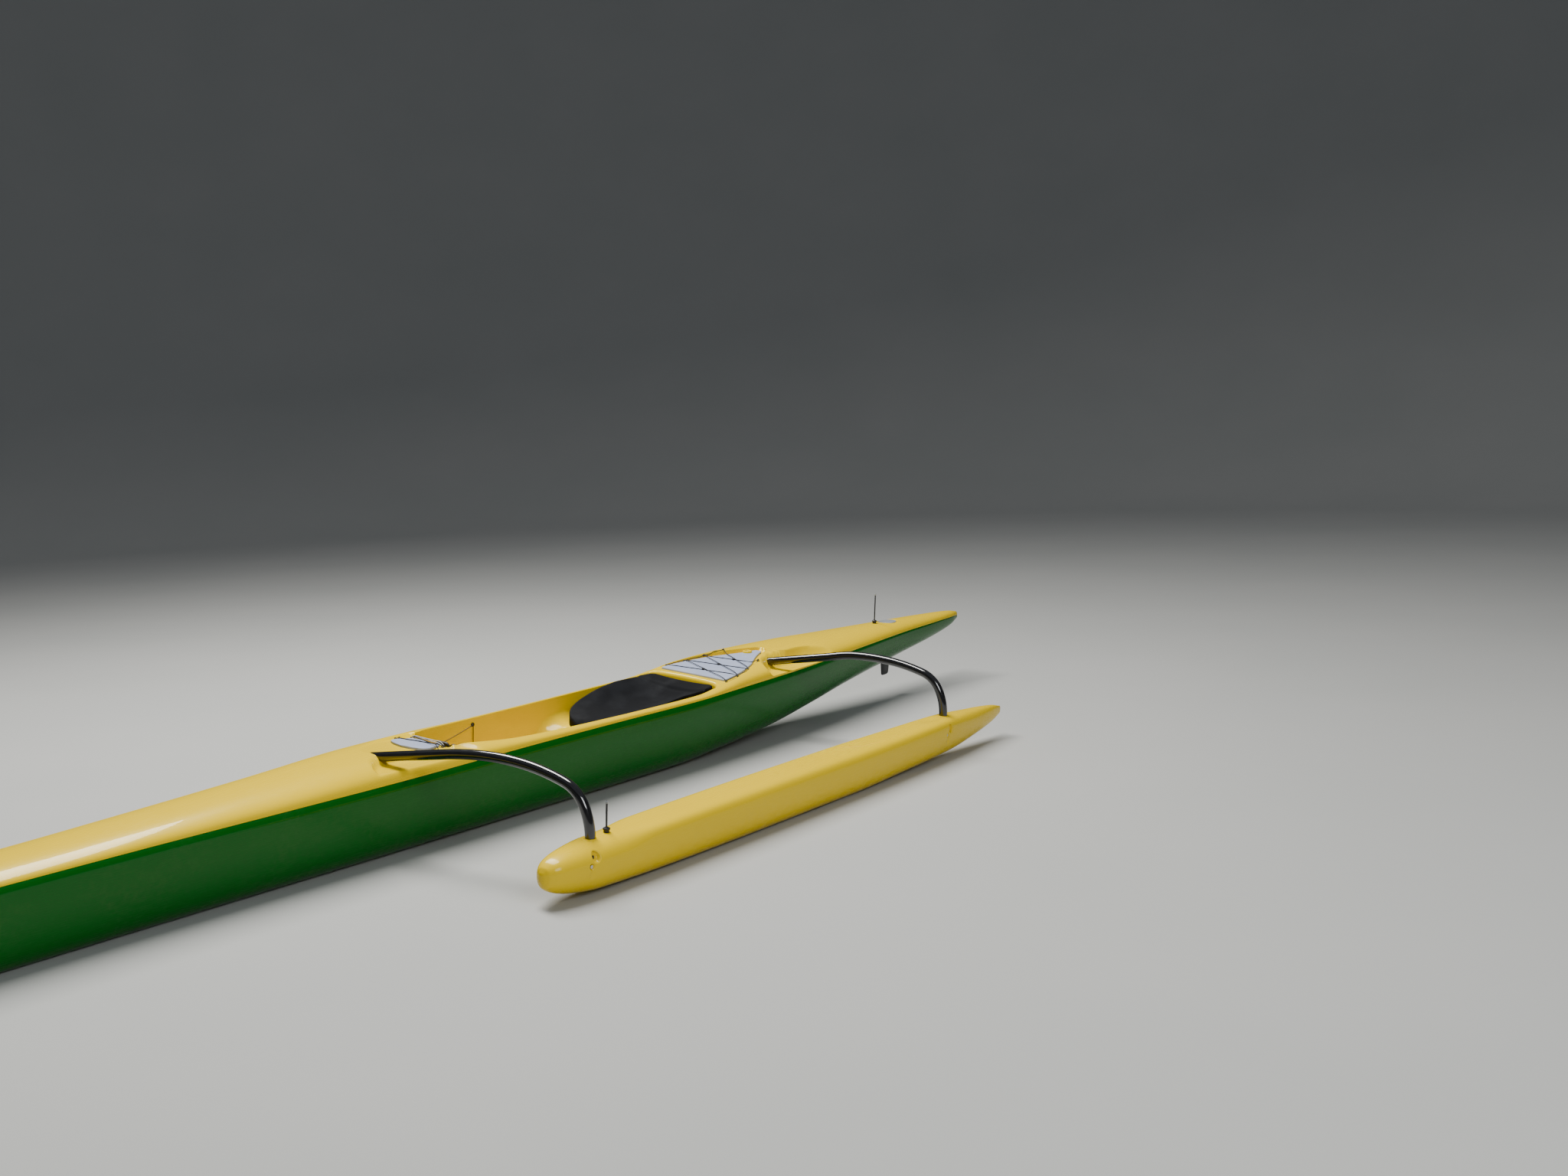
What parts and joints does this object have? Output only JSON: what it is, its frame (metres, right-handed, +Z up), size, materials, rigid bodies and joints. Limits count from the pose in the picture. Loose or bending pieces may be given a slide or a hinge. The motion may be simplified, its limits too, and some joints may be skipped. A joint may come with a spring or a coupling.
{
  "type": "outrigger canoe",
  "caption": "Single-seat sea outrigger canoe: slim decked hull with an open footwell and seat, curved cross beams to a float on the port side, and a rudder under the stern.",
  "frame": {"origin": "middle of the footprint, on the ground under the keel and the float, with the hull heeled 4.7 degrees to port as it lies", "axes": "+X towards the bow along the hull, +Y to port, the float's side, +Z up"},
  "size_m": [6, 1.1512, 0.4753],
  "materials": {
    "green_gelcoat": "gloss",
    "yellow_gelcoat": "gloss",
    "black_tube": "gloss clear coat",
    "black_foam": "matt foam",
    "grey_foam": "matt foam",
    "black_plastic": "satin",
    "grey_plastic": "satin",
    "steel": "brushed"
  },
  "bodies": {
    "hull": {"hull_bottom_bow": "green_gelcoat", "hull_bottom_footwell": "green_gelcoat", "hull_bottom_seat": "green_gelcoat", "hull_bottom_stern": "green_gelcoat", "deck_bow": "yellow_gelcoat", "deck_footwell_port": "yellow_gelcoat", "deck_footwell_starboard": "yellow_gelcoat", "deck_seat_port": "yellow_gelcoat", "deck_seat_starboard": "yellow_gelcoat", "deck_stern": "yellow_gelcoat", "front_deck_pad": "grey_foam", "rear_deck_pad": "grey_foam", "deck_cup_pad": "grey_foam", "seat_pad": "black_foam", "front_iako": "black_tube", "rear_iako": "black_tube", "ama": "yellow_gelcoat", "front_ama_bolt": "steel", "rear_ama_bolt": "steel", "ama_vent_base": "black_plastic", "ama_vent_tube": "black_plastic", "hull_vent_base": "black_plastic", "hull_vent_tube": "black_plastic", "rudder_hatch_cover": "grey_plastic", "rudder_tube": "grey_plastic", "left_pedal_rail": "black_plastic", "right_pedal_rail": "black_plastic", "foot_brace": "black_plastic", "left_pedal": "black_plastic", "right_pedal": "black_plastic", "left_line_grommet": "black_plastic", "right_line_grommet": "black_plastic", "footwell_drain": "black_plastic"},
    "rudder": {"rudder_post": "steel", "rudder_blade": "black_plastic"}
  },
  "joints": [
    {"name": "rudder_steer", "type": "hinge", "parent": "hull", "child": "rudder", "pos_m": [-2.385, -0.37694, 0.1492], "axis": [0, 0.0819, 0.9966], "range_deg": [-35, 35]}
  ]
}
